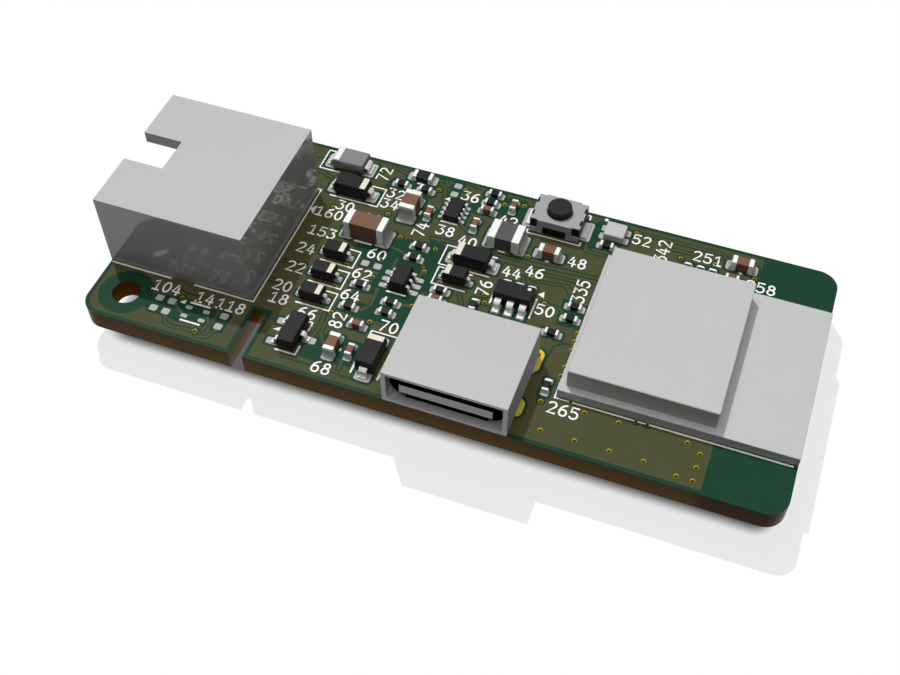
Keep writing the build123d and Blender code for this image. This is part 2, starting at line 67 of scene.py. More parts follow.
def fillInputs(tree, node, given):
    # an input is linked where a socket is given, and set otherwise
    for place, value in given.items():
        if isinstance(value, bpy.types.NodeSocket):
            tree.links.new(value, node.inputs[place])
        else:
            node.inputs[place].default_value = value


def addNode(tree, kind, given=None, **settings):
    node = tree.nodes.new("ShaderNode" + kind)
    for label, value in settings.items():
        setattr(node, label, value)
    fillInputs(tree, node, given or {})
    return node


def mathNode(tree, operation, *given, clamp=False):
    return addNode(tree, "Math", dict(enumerate(given)), operation=operation, use_clamp=clamp).outputs[0]


def vectorNode(tree, operation, *given):
    return addNode(tree, "VectorMath", dict(enumerate(given)), operation=operation).outputs[0]


def scaleColour(tree, colour, factor):
    return addNode(tree, "VectorMath", {0: colour, "Scale": factor}, operation="SCALE").outputs[0]


def mixColours(tree, share, first, second):
    return addNode(tree, "MixRGB", {"Fac": share, "Color1": first, "Color2": second}).outputs["Color"]


def mixShaders(tree, share, first, second):
    return addNode(tree, "MixShader", {0: share, 1: first, 2: second}).outputs[0]


def remap(tree, value, start, end, low, high, **settings):
    ranges = {"Value": value, "From Min": start, "From Max": end, "To Min": low, "To Max": high}
    return addNode(tree, "MapRange", ranges, **settings).outputs["Result"]


def noise(tree, place, scale, detail):
    return addNode(tree, "TexNoise", {"Vector": place, "Scale": scale, "Detail": detail}).outputs["Fac"]


def coordinate(tree, kind="Object"):
    return addNode(tree, "TexCoord").outputs[kind]


def splitAxes(tree, vector):
    return addNode(tree, "SeparateXYZ", {0: vector}).outputs


# Shared surface effects

grainSettings = {"fineDetail": 3.0, "broadScale": 260.0, "broadDetail": 2.0, "reliefDepth": 0.02}
grainSockets = {
    "INPUT": {"Color": "Color", "Scale": "Float", "Stretch": "Vector", "Drift": "Float", "Roughness": "Float",
              "Roughness Drift": "Float"},
    "OUTPUT": {"Color": "Color", "Roughness": "Float", "Height": "Float"},
}


def makeGrainGroup():
    # fine moulded or rolled grain: a colour that drifts a little, a roughness and a height
    group = bpy.data.node_groups.new("surfaceGrain", "ShaderNodeTree")
    for side, sockets in grainSockets.items():
        for label, kind in sockets.items():
            group.interface.new_socket(name=label, in_out=side, socket_type="NodeSocket" + kind)
    given = group.nodes.new("NodeGroupInput").outputs
    result = group.nodes.new("NodeGroupOutput")
    place = coordinate(group)
    stretched = vectorNode(group, "MULTIPLY", place, given["Stretch"])
    fine = noise(group, stretched, given["Scale"], grainSettings["fineDetail"])
    broad = noise(group, place, grainSettings["broadScale"], grainSettings["broadDetail"])
    centred = mathNode(group, "SUBTRACT", mathNode(group, "ADD", fine, broad), 1.0)
    lift = mathNode(group, "MULTIPLY_ADD", centred, given["Drift"], 1.0)
    rough = mathNode(group, "MULTIPLY_ADD", centred, given["Roughness Drift"], given["Roughness"], clamp=True)
    colour = scaleColour(group, given["Color"], lift)
    fillInputs(group, result, {"Color": colour, "Roughness": rough, "Height": fine})
    return group


grainGroup = makeGrainGroup()


def grainMaterial(name, colour, scale, drift, roughness, roughDrift, bump, specular,
                  stretch=(1, 1, 1), metallic=0.0, coat=0.0):
    # one finish: the shared grain feeding a Principled shader
    material = bpy.data.materials.new(name)
    material.use_nodes = True
    tree = material.node_tree
    grain = addNode(tree, "Group", node_tree=grainGroup)
    fillInputs(tree, grain, {"Color": colour, "Scale": scale, "Stretch": stretch, "Drift": drift,
                             "Roughness": roughness, "Roughness Drift": roughDrift})
    depth = grainSettings["reliefDepth"] * mm
    relief = addNode(tree, "Bump", {"Strength": bump, "Distance": depth, "Height": grain.outputs["Height"]})
    fillInputs(tree, tree.nodes["Principled BSDF"], {
        "Base Color": grain.outputs["Color"], "Roughness": grain.outputs["Roughness"], "Metallic": metallic,
        "Specular IOR Level": specular, "Coat Weight": coat, "Normal": relief.outputs["Normal"]})
    return material


def baseColour(material):
    return material.node_tree.nodes["Principled BSDF"].inputs["Base Color"]


laminateSettings = {
    "maskThickness": 0.03, "core": tone(86, 72, 18), "coreLight": tone(152, 104, 40),
    "fibreScale": (900.0, 900.0, 9000.0), "fibreDetail": 4.0,
    # painted reflection: the share of the light core grows towards the bottom of the edge
    "light": (-0.3, 0.4),  # share of the light core at the top and at the bottom
    "ends": ((9.0, 22.0, 0.66, 1.0), (45.6, 46.2, 1.0, 0.38)),  # from, to, and the brightness there
    # painted shade along the edge's bottom rim
    "rim": (0.07, 0.15, 0.3, 1.0),
}


def addLaminateCore(material):
    # brown glass laminate between the dark green mask of the two faces
    settings, tree, base = laminateSettings, material.node_tree, baseColour(material)
    place = coordinate(tree)
    along = splitAxes(tree, place)
    fromMiddle = mathNode(tree, "SUBTRACT", along["Z"], (boardTop + boardBottom) / 2)
    core = (boardTop - boardBottom) / 2 - settings["maskThickness"] * mm
    inside = mathNode(tree, "LESS_THAN", mathNode(tree, "ABSOLUTE", fromMiddle), core)
    stretched = addNode(tree, "Mapping", {"Vector": place, "Scale": settings["fibreScale"]}).outputs["Vector"]
    fibre = noise(tree, stretched, 1.0, settings["fibreDetail"])
    # the edge is lighter towards the bottom, a painted reflection, and darker near both ends of the board;
    # painted shade darkens its bottom rim
    light = remap(tree, along["Z"], boardTop, boardBottom, *settings["light"])
    blend = mathNode(tree, "ADD", fibre, light, clamp=True)
    laminate = mixColours(tree, blend, settings["core"], settings["coreLight"])
    start, end = [remap(tree, along["X"], boardLow.x + near * mm, boardLow.x + far * mm, first, last)
                  for near, far, first, last in settings["ends"]]
    near, far, first, last = settings["rim"]
    rim = remap(tree, along["Z"], boardBottom + near * mm, boardBottom + far * mm, first, last)
    dim = mathNode(tree, "MULTIPLY", mathNode(tree, "MULTIPLY", start, end), rim)
    shaded = scaleColour(tree, laminate, dim)
    tree.links.new(mixColours(tree, inside, base.links[0].from_socket, shaded), base)


def paintShadeInside(material, low, high, colour):
    # painted shade: inside the box from low to high the surface takes another colour and mirrors nothing
    tree = material.node_tree
    base = baseColour(material)
    mirror = base.node.inputs["Specular IOR Level"]
    low, high = Vector(low), Vector(high)
    centred = vectorNode(tree, "SUBTRACT", coordinate(tree), (low + high) / 2)
    scaled = splitAxes(tree, vectorNode(tree, "DIVIDE", centred, (high - low) / 2))
    within = [mathNode(tree, "LESS_THAN", mathNode(tree, "ABSOLUTE", scaled[axis]), 1.0) for axis in "XYZ"]
    inside = mathNode(tree, "MULTIPLY", mathNode(tree, "MULTIPLY", within[0], within[1]), within[2])
    tree.links.new(mixColours(tree, inside, base.links[0].from_socket, colour), base)
    gloss = mirror.links[0].from_socket if mirror.is_linked else mirror.default_value
    outside = mathNode(tree, "SUBTRACT", 1.0, inside)
    tree.links.new(mathNode(tree, "MULTIPLY", gloss, outside), mirror)


def paintSideShade(material, share):
    # painted shade: upright faces keep only a share of the colour that level faces have
    tree, base = material.node_tree, baseColour(material)
    upward = splitAxes(tree, coordinate(tree, "Normal"))["Z"]
    level = remap(tree, upward, 0.0, 1.0, share, 1.0)
    tree.links.new(scaleColour(tree, base.links[0].from_socket, level), base)


pale = (197, 197, 197)
finishes = {  # material, tone, scale of the grain, drift, roughness, its drift, bump, specular
    "laminate": ("boardLaminate", (33, 68, 50), 9000, 0.1, 0.25, 0.1, 0.04, 0.04),
    "mask": ("solderMask", (33, 68, 50), 9000, 0.1, 0.22, 0.1, 0.04, 0.04),
    "maskedCopper": ("maskedCopper", (69, 79, 54), 7000, 0.12, 0.22, 0.1, 0.04, 0.04),
    "silk": ("silkInk", (244, 244, 242), 12000, 0.05, 0.6, 0.1, 0.05, 0.18),
    "moduleMask": ("moduleMask", pale, 8000, 0.03, 0.28, 0.1, 0.03, 0.18),
    "shieldMetal": ("shieldSheet", pale, 3500, 0.03, 0.3, 0.08, 0.01, 0.18),
    "socketMetal": ("socketSheet", pale, 3500, 0.02, 0.15, 0.03, 0.0, 0.9),
    "headerPlastic": ("headerNylon", (199, 199, 199), 5000, 0.02, 0.08, 0.0, 0.0, 0.5),
    "socketPlastic": ("socketPlastic", pale, 6000, 0.03, 0.12, 0.1, 0.0, 0.9),
    "contactGold": ("contactGold", (215, 180, 90), 6000, 0.06, 0.3, 0.1, 0.02, 0.18),
    # painted light on the vias: a brighter gold stands for the lit far wall of each barrel
    "viaGold": ("viaGold", (136, 116, 22), 9000, 0.2, 0.35, 0.1, 0.02, 0.18),
    "viaBright": ("viaPaintedLitWall", (204, 184, 50), 9000, 0.1, 0.3, 0.1, 0.02, 0.18),
    "ringGold": ("ringGold", (222, 198, 36), 6000, 0.06, 0.3, 0.1, 0.02, 0.18),
    "tin": ("tinPlate", (238, 237, 236), 5000, 0.07, 0.3, 0.15, 0.05, 0.35),
    "solder": ("tinnedPad", (180, 178, 176), 4000, 0.08, 0.34, 0.15, 0.06, 0.1),
    "terminal": ("chipTerminal", (248, 248, 248), 5000, 0.05, 0.32, 0.1, 0.06, 0.3),
    "package": ("packageMoulding", (44, 44, 45), 7000, 0.14, 0.42, 0.1, 0.08, 0.06),
    "greyMoulding": ("greyMoulding", (137, 136, 136), 7000, 0.06, 0.42, 0.1, 0.06, 0.08),
    "ferrite": ("ferriteMoulding", (90, 91, 92), 5000, 0.12, 0.45, 0.1, 0.08, 0.08),
    "ceramic": ("capacitorCeramic", (126, 92, 75), 5000, 0.12, 0.4, 0.1, 0.06, 0.08),
    "glaze": ("resistorGlaze", (30, 32, 32), 6000, 0.1, 0.3, 0.1, 0.05, 0.18),
    "band": ("bandInk", (235, 228, 208), 9000, 0.05, 0.55, 0.1, 0.04, 0.18),
    "switchMetal": ("switchSheet", (166, 167, 168), 3000, 0.05, 0.34, 0.1, 0.03, 0.18),
    "switchPlastic": ("switchPlastic", (16, 16, 16), 7000, 0.12, 0.4, 0.1, 0.08, 0.18),
    "plungerPlastic": ("plungerPlastic", (50, 50, 50), 7000, 0.1, 0.4, 0.1, 0.06, 0.06),
    "lampResin": ("lampResin", (196, 198, 198), 5000, 0.05, 0.25, 0.1, 0.02, 0.18),
    # painted shade: the dark inside of the vias' drills
    "dark": ("drillShadow", (78, 60, 8), 6000, 0.06, 0.6, 0.1, 0.02, 0.0),
}
ownValues = {
    "contactGold": {"metallic": 0.7}, "lampResin": {"coat": 0.1}, "shieldMetal": {"stretch": (0.3, 1, 1)},
    "socketMetal": {"stretch": (1, 0.3, 1)}, "switchMetal": {"stretch": (1, 0.3, 1)},
}
materials = {finish: grainMaterial(name, tone(*colour), *values, **ownValues.get(finish, {}))
             for finish, (name, colour, *values) in finishes.items()}
addLaminateCore(materials["laminate"])
# painted shade on the header's upright faces
headerSideShadeShare = 0.66
paintSideShade(materials["headerPlastic"], headerSideShadeShare)
# painted shade: the colour of the mounting hole's wall
holeSettings = {"reach": 1.15, "lip": 0.03, "wall": tone(96, 62, 20)}
# painted shade: the socket's dark throat, tongue rim and slit
socketSettings = {
    "throatDepth": 0.73, "throatGap": 0.02, "backKeep": 0.01, "tongueFace": 0.04, "tongueTop": 1.77,
    "slitWidth": 5.95, "slitDepth": 0.16, "wall": 0.03, "endKeep": 0.1, "topKeep": 0.04, "around": 1.0,
    "shade": tone(8, 8, 8),
}
shellLow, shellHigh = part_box("socket_shell")


def shadeHole():
    # painted shade: the wall of the mounting hole takes a darker laminate brown
    middle = boardLow + Vector((*boardPlan["hole"], 0)) * mm
    reach = Vector((holeSettings["reach"], holeSettings["reach"], -holeSettings["lip"])) * mm
    paintShadeInside(materials["laminate"], middle - reach, Vector((middle.x, middle.y, boardTop)) + reach,
                 holeSettings["wall"])


def shadeSocket():
    metal, plastic, shade = materials["socketMetal"], materials["socketPlastic"], socketSettings["shade"]
    size = {label: value * mm for label, value in socketSettings.items() if label != "shade"}
    low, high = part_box("socket_insulator")
    gap, around = size["throatGap"], size["around"]
    throat = shellLow.y + size["throatDepth"]
    beyond = high + Vector((around, around, around))
    # painted shade in the throat, and on the tongue behind its face
    paintShadeInside(metal, (low.x - gap, throat, low.z - gap),
                 (high.x + gap, shellHigh.y - size["backKeep"], high.z + gap), shade)
    paintShadeInside(plastic, (low.x - around, low.y + size["tongueFace"], low.z - around), beyond, shade)
    # painted shade: the shell's side walls mirror nothing and look duller than its front
    front, back = shellLow.y + size["endKeep"], shellHigh.y - size["endKeep"]
    top = shellHigh.z - size["topKeep"]
    for side in (shellLow.x, shellHigh.x):
        paintShadeInside(metal, (side - size["wall"], front, boardTop - around), (side + size["wall"], back, top),
                     tone(*pale))
    # painted shade on the tongue's upper rim, and in the slit of the mouth under it
    paintShadeInside(plastic, (low.x - around, low.y - around, boardTop + size["tongueTop"]), beyond, shade)
    middle, half = (low.x + high.x) / 2, size["slitWidth"] / 2
    paintShadeInside(metal, (middle - half, throat - size["slitDepth"], low.z - around),
                 (middle + half, throat + around, (shellLow.z + shellHigh.z) / 2), shade)


shadeHole()
shadeSocket()
nodeMaterials = {
    "circuit_board": "laminate", "module_board": "moduleMask", "shield_can": "shieldMetal",
    "radio_crystal": "shieldMetal", "radio_chip": "package", "header_housing": "headerPlastic",
    "header_pins": "tin", "header_solder": "solder", "socket_shell": "socketMetal",
    "socket_insulator": "socketPlastic", "socket_contacts": "contactGold", "switch_base": "switchPlastic",
    "switch_cover": "switchMetal", "switch_plunger": "plungerPlastic", "switch_dome": "tin",
    "switch_terminals": "tin", "lamp_carrier": "lampResin", "lamp_lens": "lampResin", "lamp_terminals": "tin",
    "power_diode_body": "greyMoulding", "resistor_body": "glaze", "inductor_body": "ferrite",
    "solder_pads": "solder",
}
softEdges = {  # edge rounding in millimetres for the nodes whose real edges show
    "header_housing": 0.06, "header_pins": 0.05, "socket_shell": 0.04, "socket_insulator": 0.04,
    "module_board": 0.03, "switch_cover": 0.03, "switch_base": 0.04, "switch_plunger": 0.05,
    "switch_terminals": 0.03, "lamp_lens": 0.04, "lamp_carrier": 0.02,
}
endingEdges = {"_leads": 0.025, "_body": 0.03, "_terminals": 0.03}
edgeSettings = {"weld": 0.0005, "segments": 2, "angle": 35, "sameHeight": 1e-9}
paintedGlowSettings = {"colour": (1.0, 0.3, 0.1, 1.0), "strength": 0.018}


def nodeFinish(name):
    if name in nodeMaterials:
        return nodeMaterials[name]
    if name.endswith("_leads"):
        return "tin"
    if name.endswith("_terminals"):
        return "terminal"
    return "ceramic" if "capacitor" in name else "package"


def nodeRounding(name):
    endings = [width for ending, width in endingEdges.items() if name.endswith(ending)]
    return softEdges.get(name, endings[0] if endings else None)


def dressNodes():
    for name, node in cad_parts.items():
        node.data.materials.clear()
        node.data.materials.append(materials[nodeFinish(name)])
        width = nodeRounding(name)
        if width is None:
            continue
        weld = node.modifiers.new("weld", "WELD")
        weld.merge_threshold = edgeSettings["weld"] * mm
        bevel = node.modifiers.new("softEdge", "BEVEL")
        bevel.width = width * mm
        bevel.segments = edgeSettings["segments"]
        bevel.limit_method = "ANGLE"
        bevel.angle_limit = radians(edgeSettings["angle"])
        bevel.use_clamp_overlap = True


dressNodes()
# painted light: copper under the mask glows faintly red, so it keeps a warm tone in the shade
paintedGlow = baseColour(materials["maskedCopper"]).node
paintedGlow.inputs["Emission Color"].default_value = paintedGlowSettings["colour"]
paintedGlow.inputs["Emission Strength"].default_value = paintedGlowSettings["strength"]
print("materials on", len(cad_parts), "nodes")


# New pieces

def newObject(name, data):
    made = bpy.data.objects.new(name, data)
    bpy.context.scene.collection.objects.link(made)
    return made


def meshObject(name, work, material):
    mesh = bpy.data.meshes.new(name)
    work.to_mesh(mesh)
    work.free()
    mesh.materials.append(material)
    for face in mesh.polygons:
        face.use_smooth = False
    return newObject(name, mesh)


def finishPiece(work, name, finish, body=rootBody, replaced=()):
    bmesh.ops.recalc_face_normals(work, faces=work.faces)
    piece = meshObject(name, work, materials[finish])
    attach(piece, body)
    if replaced:
        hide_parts(*replaced)


def islandBoxes(nodeName):
    # lowest and highest corner of each separate solid in a node
    work = bmesh.new()
    work.from_mesh(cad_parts[nodeName].data)
    bmesh.ops.remove_doubles(work, verts=work.verts, dist=edgeSettings["weld"] * mm)
    left = set(work.verts)
    boxes = []
    while left:
        stack = [left.pop()]
        found = [stack[0]]
        while stack:
            for edge in stack.pop().link_edges:
                for vertex in edge.verts:
                    if vertex in left:
                        left.remove(vertex)
                        stack.append(vertex)
                        found.append(vertex)
        places = [vertex.co for vertex in found]
        boxes.append((Vector([min(p[i] for p in places) for i in range(3)]),
                      Vector([max(p[i] for p in places) for i in range(3)])))
    work.free()
    return sorted(boxes, key=lambda box: (round(box[0].x, 6), round(box[0].y, 6)))


def addBlock(work, low, high, corner=0.0, rim=0.0):
    # a plate from low to high, its upright edges rounded by corner and its top rim by rim
    made = bmesh.ops.create_cube(work, size=1.0)["verts"]
    bmesh.ops.scale(work, vec=high - low, verts=made)
    bmesh.ops.translate(work, vec=(low + high) / 2, verts=made)
    rounding = {"offset_type": "OFFSET", "profile": 0.5, "affect": "EDGES", "material": -1}
    if corner > 0:
        edges = {e for v in made for e in v.link_edges
                 if abs(e.verts[0].co.z - e.verts[1].co.z) > (high.z - low.z) / 2}
        done = bmesh.ops.bevel(work, geom=list(edges), offset=corner, segments=3, **rounding)
        made = list({v for f in done["faces"] for v in f.verts})
    if rim > 0:
        edges = {e for v in made for e in v.link_edges if len(e.link_faces) == 2
                 and all(abs(end.co.z - high.z) < edgeSettings["sameHeight"] for end in e.verts)
                 and any(abs(f.normal.z) < 0.5 for f in e.link_faces)}
        bmesh.ops.bevel(work, geom=list(edges), offset=rim, segments=2, **rounding)


layers = {  # heights over the board's top face, in millimetres
    "pour": 0.004, "clearance": 0.011, "track": 0.018, "ring": 0.024, "wall": 0.029, "silk": 0.034,
    "drill": 0.042,
    "underPour": -1.608, "underClearance": -1.614, "underRing": -1.626, "underDrill": -1.632,
}


def layPiece(work, name, layer, finish, thickness=0.004):
    # flat faces drawn at zero height become thin closed plates on their layer
    made = bmesh.ops.extrude_face_region(work, geom=list(work.faces))["geom"]
    tops = [part for part in made if isinstance(part, bmesh.types.BMVert)]
    bmesh.ops.translate(work, vec=(0, 0, thickness * mm), verts=tops)
    bmesh.ops.translate(work, vec=(0, 0, boardTop + layers[layer] * mm), verts=list(work.verts))
    finishPiece(work, name, finish)


strokeEnds = {"shoulder": 0.7, "tip": 0.2}  # a stroke's end narrows to these shares of its width


def roundEnded(points, width):
    # a stroke's points and radii with both ends drawn out by half its width
    shoulder, tip = strokeEnds["shoulder"], strokeEnds["tip"]
    head = (points[0] - points[1]).normalized() * width / 2
    tail = (points[-1] - points[-2]).normalized() * width / 2
    radii = [width * tip, width * shoulder] + [width] * len(points) + [width * shoulder, width * tip]
    points = [points[0] + head, points[0] + head * shoulder] + points
    return points + [points[-1] + tail * shoulder, points[-1] + tail], radii


def curveFaces(loops, widths=None):
    # loops filled as one flat region with holes, or drawn as flat round-ended strokes of the given widths
    curve = bpy.data.curves.new("draft", "CURVE")
    curve.dimensions = "3D" if widths else "2D"
    curve.fill_mode = "FULL" if widths else "FRONT"
    curve.bevel_depth = 0.5 * mm if widths else 0.0
    curve.bevel_resolution = 0
    for index, loop in enumerate(loops):
        points, radii = [Vector(p) for p in loop], [1.0] * len(loop)
        if widths:
            points, radii = roundEnded(points, widths[index])
        spline = curve.splines.new("POLY")
        spline.points.add(len(points) - 1)
        spline.use_cyclic_u = not widths
        for target, place, radius in zip(spline.points, points, radii):
            target.co = (*boardPoint(*place), 0, 1)
            target.radius = radius
    draft = bpy.data.objects.new("draft", curve)
    mesh = bpy.data.meshes.new_from_object(draft)
    work = bmesh.new()
    work.from_mesh(mesh)
    bpy.data.objects.remove(draft)
    bpy.data.curves.remove(curve)
    bpy.data.meshes.remove(mesh)
    return work


def strokePiece(name, strokes, layer, finish, thickness=0.006):
    # strokes are (points, width)
    loops, widths = zip(*strokes)
    work = curveFaces(loops, widths)
    verts = list(work.verts)
    tallest = max(v.co.z for v in verts)
    bmesh.ops.scale(work, vec=(1, 1, thickness * mm / 2 / tallest), verts=verts)
    bmesh.ops.translate(work, vec=(0, 0, boardTop + (layers[layer] + thickness / 2) * mm), verts=verts)
    finishPiece(work, name, finish)


def ovalStroke(x, y, width, height, steps):
    # a stroke that ends where it starts
    angles = [2 * pi * step / steps for step in range(steps + 1)]
    return [(x + width * cos(angle), y + height * sin(angle)) for angle in angles]


def circleLoop(x, y, radius, steps=24):
    return ovalStroke(x, y, radius, radius, steps)[:-1]


def roundLoop(x, y, width, height, corner, steps=5):
    # a rounded rectangle's outline; with the corner half the width, an oval
    points = []
    for quarter, (signX, signY) in enumerate(((1, 1), (-1, 1), (-1, -1), (1, -1))):
        for step in range(steps + 1):
            angle = pi / 2 * (quarter + step / steps)
            points.append((x + signX * (width / 2 - corner) + corner * cos(angle),
                           y + signY * (height / 2 - corner) + corner * sin(angle)))
    return points


def pourOutline():
    # the copper stops short of the edges, the cable-tie slot and the antenna
    rim, corner, right = boardPlan["rim"], boardPlan["corner"], boardPlan["pourEnd"]
    high = boardPlan["width"] - rim
    slotLeft, slotRight, slotEnd = boardPlan["slot"]
    arc = [(cos(radians(a)) * corner, sin(radians(a)) * corner) for a in range(90, -1, -15)]
    outline = [(rim + corner - y, rim + corner - x) for x, y in arc]
    outline += [(slotLeft, rim), (slotLeft, slotEnd), (slotRight, slotEnd), (slotRight, rim)]
    outline += [(right, rim), (right, high)]
    return outline + [(rim + corner - x, high - corner + y) for x, y in arc]


def buildPour(name, layer, steps):
    ring = circleLoop(*boardPlan["hole"], boardPlan["holeKeep"], steps)
    layPiece(curveFaces([pourOutline(), ring]), name, layer, "maskedCopper")


clearings = [  # areas without copper between close pads, as outlines in board millimetres
    [(4.5, 1.75), (7.1, 1.3), (9.75, 1.5), (9.75, 3.1), (7.29, 3.55), (4.78, 3.25)],
    [(9.95, 1.4), (10.95, 1.4), (10.95, 3.3), (9.95, 3.3)],
    [(16.35, 12.55), (20.24, 14.6), (23.36, 14.96), (24.42, 10.58), (22.8, 9.78), (23.6, 7.6), (23.9, 6.22),
     (21.53, 5.94), (20.18, 6.05), (18.0, 6.21), (17.62, 7.3), (19.2, 9.6), (19.35, 11.4), (17.4, 11.6)],
    [(16.25, 19.2), (17.1, 18.9), (20.3, 19.1), (20.46, 20.0), (19.94, 20.5), (18.37, 20.5), (16.6, 20.4)],
    [(25.5, 19.4), (27.0, 19.2), (28.1, 19.0), (27.75, 20.92), (27.4, 21.5), (26.17, 21.53), (25.5, 20.85)],
    [(21.73, 14.99), (22.82, 14.91), (23.16, 12.57), (22.6, 12.2)],
    [(32.91, 12.96), (34.7, 12.73), (34.92, 10.46), (33.14, 10.36)],
    [(33.05, 20.95), (33.64, 21.7), (35.58, 21.7), (36.22, 19.95), (35.31, 19.17), (33.3, 18.2),
     (32.9, 19.0)],
    [(23.2, 18.9), (25.6, 18.9), (25.6, 21.6), (24.0, 21.6), (23.9, 20.0), (23.2, 19.7)],
    [(16.72, 2.5), (17.7, 2.85), (18.0, 4.2), (21.0, 4.0), (21.0, 1.75), (20.2, 1.75), (18.9, 1.35),
     (16.95, 1.45)],
    [(40.2, 17.6), (43.2, 17.6), (43.2, 19.2), (40.2, 19.2)],
]
copperIsland = [(18.35, 7.45), (19.75, 7.45), (19.75, 8.45), (18.6, 8.3)]
outlinedTracks = [  # tracks inside the pour, olive between two dark lines
    [(6.3, 1.6), (6.6, 0.98), (7.25, 0.78), (8.35, 0.92), (9.02, 0.96)],
    [(9.02, 0.96), (9.3, 0.6), (10.07, 0.75), (10.45, 1.7)],
    [(9.3, 2.4), (9.62, 2.0), (9.5, 1.2)],
    [(10.52, 19.14), (11.36, 18.95), (12.12, 18.61)],
    [(20.4, 21.0), (20.9, 20.82), (21.29, 19.28)],
    [(19.94, 21.2), (20.7, 21.4), (21.1, 21.0)],
    [(16.15, 21.19), (16.37, 21.42), (17.08, 21.28), (18.0, 21.1)],
    [(17.11, 5.64), (17.27, 4.38), (17.15, 3.3), (16.9, 3.0)],
    [(17.5, 5.9), (17.55, 3.9), (18.2, 3.0)],
    [(19.98, 2.03), (20.05, 1.35)],
    [(25.66, 10.65), (26.12, 9.83)],
    [(32.81, 18.42), (33.19, 17.97), (34.7, 17.97)],
    [(38.87, 20.13), (39.5, 20.4), (41.03, 20.4)],
    [(36.5, 21.1), (38.93, 21.16), (42.99, 21.16), (43.6, 20.6)],
    [(24.14, 16.83), (23.56, 17.22), (23.2, 17.5)],
    [(11.9, 9.3), (13.5, 9.38)],
    [(11.9, 7.3), (13.4, 7.2)],
    [(29.5, 13.9), (29.9, 13.1), (29.9, 12.9)],
    [(31.9, 11.9), (33.0, 11.9), (33.5, 11.1)],
    [(27.6, 10.6), (28.3, 10.4)],
]
darkLines = [  # single gaps between parallel tracks
    [(27.0, 15.55), (27.99, 15.49), (30.18, 15.58), (34.88, 15.8)],
    [(26.6, 15.25), (27.22, 15.21), (29.97, 15.16), (34.9, 15.44)],
    [(26.4, 14.85), (27.02, 14.79), (29.93, 14.75), (34.88, 15.01)],
    [(29.48, 14.3), (32.17, 14.59), (34.6, 14.63)],
    [(29.55, 14.09), (30.4, 13.62), (32.68, 13.99), (33.32, 13.11), (33.21, 12.51)],
    [(30.6, 13.95), (32.89, 14.3), (33.6, 13.6), (33.57, 12.97)],
    [(21.57, 15.41), (23.63, 15.56), (26.0, 15.5)],
    [(21.6, 15.1), (22.24, 15.05), (23.6, 15.2)],
    [(19.11, 21.6), (21.84, 21.62), (23.4, 21.5)],
    [(20.03, 14.2), (19.87, 13.13), (19.97, 12.3)],
    [(9.9, 20.42), (10.49, 20.51), (10.7, 20.9)],
    [(23.15, 11.39), (23.15, 9.91)],
    [(33.3, 6.0), (33.55, 8.4), (34.2, 8.9), (34.6, 8.9)],
    [(6.2, 4.2), (6.9, 3.95), (7.9, 4.1), (9.0, 4.1)],
    [(15.74, 0.97), (19.3, 0.97), (22.4, 0.76)],
]
openTracks = [  # olive tracks crossing the areas without copper
    [(19.84, 9.12), (19.94, 7.49), (19.43, 6.79)],
    [(20.53, 6.07), (21.4, 6.1), (22.0, 5.5)],
    [(21.9, 8.2), (22.8, 8.45)],
    [(22.19, 11.36), (22.45, 11.85)],
    [(6.5, 2.78), (7.1, 2.3), (7.64, 1.97)],
    [(18.9, 13.4), (20.1, 13.2), (20.7, 12.8)],
    [(20.1, 12.3), (20.1, 11.4), (20.5, 10.9)],
    [(21.9, 12.79), (22.2, 12.3), (22.45, 11.9)],
    [(18.0, 8.95), (17.6, 8.6), (16.75, 8.3)],
    [(24.0, 11.2), (24.3, 10.45)],
    [(26.1, 20.5), (27.3, 20.85)],
]
signalVias = [  # clear of the pour
    (6.73, 3.44), (7.95, 3.59), (9.68, 3.44), (9.03, 0.97), (4.66, 3.32), (17.5, 5.91), (20.47, 6.02),
    (19.03, 10.06), (13.77, 9.38), (16.75, 10.55), (16.75, 8.3), (22.8, 8.45), (15.45, 20.55), (17.7, 16.45),
    (17.05, 19.06), (20.5, 20.27), (22.47, 21.0), (19.5, 14.52), (22.45, 14.25), (22.45, 11.85), (19.0, 11.9),
    (13.44, 15.73), (25.86, 20.53), (27.38, 20.9), (29.23, 15.94), (30.29, 14.03), (31.77, 11.94),
    (32.41, 16.55), (34.06, 19.38), (23.9, 11.23), (27.41, 11.23), (27.65, 10.55), (34.14, 3.53),
    (40.67, 4.13), (41.46, 4.13), (36.32, 21.07), (40.07, 19.67), (42.63, 19.98), (45.67, 19.52),
]
groundVias = [
    (34.82, 1.25), (34.85, 10.09), (34.85, 9.32), (34.86, 8.45), (34.85, 6.9), (34.8, 6.05), (36.08, 4.21),
    (37.21, 3.62), (39.6, 3.62), (44.33, 3.62), (45.33, 3.0), (45.33, 1.9), (45.33, 0.82), (44.24, 0.82),
    (41.95, 1.21), (39.6, 1.21), (37.21, 1.21),
]
viaKeep = 0.34
# painted highlight on the shifted wall discs, painted shade on the drill discs
upperVias = (  # name, layer, finish, radius, shift, segments, thickness
    ("viaRings", "ring", "viaGold", 0.185, (0, 0), 16, 0.004),
    ("viaPaintedLitWalls", "wall", "viaBright", 0.145, (-0.015, 0.03), 14, 0.003),
    ("viaDrills", "drill", "dark", 0.13, (0, -0.02), 12, 0.002),
)
lowerVias = (
    ("underViaRings", "underRing", "viaGold", 0.185, (0, 0), 16, 0.004),
    ("underViaDrills", "underDrill", "dark", 0.13, (0, 0), 12, 0.002),
)
liftStep = 2e-8


def nextLift(work):  # plates that overlap never share one height
    return len(work.faces) * liftStep


def addDisc(work, x, y, radius, segments=16):
    bmesh.ops.create_circle(work, cap_ends=True, segments=segments, radius=radius * mm,
                            matrix=Matrix.Translation((*boardPoint(x, y), nextLift(work))))


def addOutline(work, outline):
    lift = nextLift(work)
    work.faces.new([work.verts.new((*boardPoint(*p), lift)) for p in outline])


